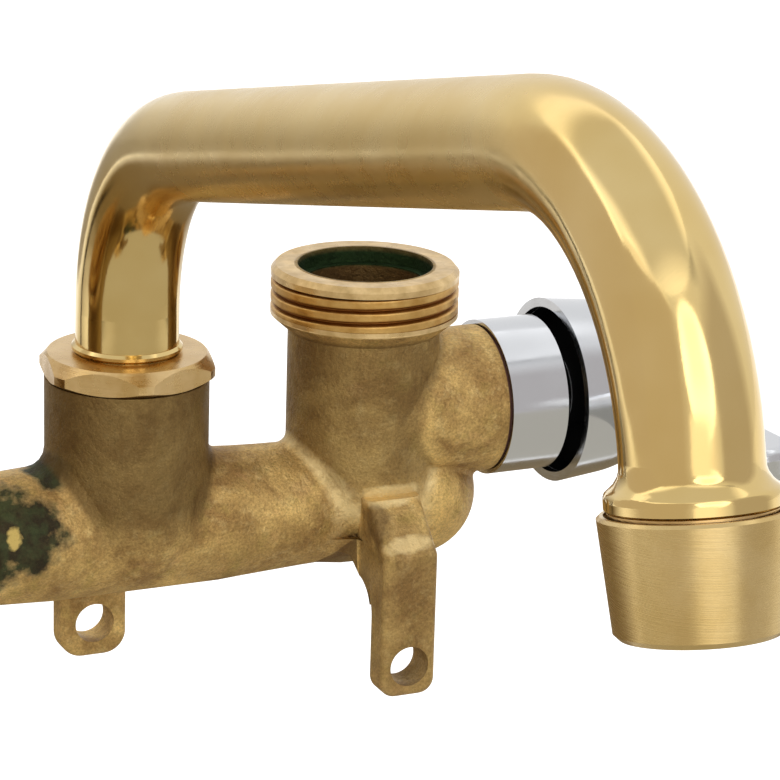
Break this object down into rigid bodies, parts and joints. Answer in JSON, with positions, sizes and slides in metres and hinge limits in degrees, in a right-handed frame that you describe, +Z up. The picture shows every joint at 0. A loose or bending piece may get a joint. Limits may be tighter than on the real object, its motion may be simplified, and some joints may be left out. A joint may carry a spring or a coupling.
{
  "type": "utility sink faucet",
  "caption": "Rough brass straddle-mount utility sink faucet with lever handles, upright threaded inlets and a rising tubular swing spout with aerator.",
  "frame": {"origin": "midway between the two front leg holes, on the rear faces of the legs that clamp the tub's rim", "axes": "+X along the manifold to the cold side, -Y forward along the spout at rest, +Z up"},
  "size_m": [0.2004, 0.2212, 0.1368],
  "materials": {
    "rough_brass": "rough sand-cast, oxidised",
    "turned_brass": "machined",
    "polished_brass": "polished",
    "satin_brass": "satin brushed",
    "chrome_plate": "bright plated",
    "black_rubber": "matt",
    "white_plastic": "moulded",
    "fibre_gasket": "pressed fibre",
    "white_ceramic": "lapped",
    "spring_steel": "plain",
    "stainless_screw": "plain",
    "stainless_mesh": "perforated",
    "red_plastic": "gloss",
    "blue_plastic": "gloss"
  },
  "bodies": {
    "faucet_body": {"body_casting": "rough_brass", "swivel_nut": "turned_brass", "thrust_washer": "white_plastic", "hot_seat_seal": "black_rubber", "hot_cartridge_body": "turned_brass", "hot_bonnet_gasket": "fibre_gasket", "hot_fixed_disc": "white_ceramic", "hot_sleeve": "chrome_plate", "cold_seat_seal": "black_rubber", "cold_cartridge_body": "turned_brass", "cold_bonnet_gasket": "fibre_gasket", "cold_fixed_disc": "white_ceramic", "cold_sleeve": "chrome_plate"},
    "spout": {"spout_tube": "polished_brass", "swivel_stub": "turned_brass", "spout_rings": "black_rubber", "outlet_nozzle": "turned_brass", "aerator_shell": "satin_brass", "aerator_washer": "black_rubber", "aerator_insert": "white_plastic", "flow_disc": "white_plastic", "aerator_screen": "stainless_mesh"},
    "hot_handle": {"hot_lever": "chrome_plate", "hot_stem": "turned_brass", "hot_moving_disc": "white_ceramic", "hot_stem_ring": "black_rubber", "hot_stem_clip": "spring_steel", "hot_handle_screw": "stainless_screw", "hot_index_button": "red_plastic"},
    "cold_handle": {"cold_lever": "chrome_plate", "cold_stem": "turned_brass", "cold_moving_disc": "white_ceramic", "cold_stem_ring": "black_rubber", "cold_stem_clip": "spring_steel", "cold_handle_screw": "stainless_screw", "cold_index_button": "blue_plastic"}
  },
  "joints": [
    {"name": "spout_swivel", "type": "hinge", "parent": "faucet_body", "child": "spout", "pos_m": [0, 0.0164, 0.0494], "axis": [0, 0, 1], "range_deg": [-65, 65]},
    {"name": "hot_lever_turn", "type": "hinge", "parent": "faucet_body", "child": "hot_handle", "pos_m": [-0.0784, 0.0164, 0.0389], "axis": [-1, 0, 0], "range_deg": [0, 90]},
    {"name": "cold_lever_turn", "type": "hinge", "parent": "faucet_body", "child": "cold_handle", "pos_m": [0.0784, 0.0164, 0.0389], "axis": [-1, 0, 0], "range_deg": [0, 90]}
  ]
}
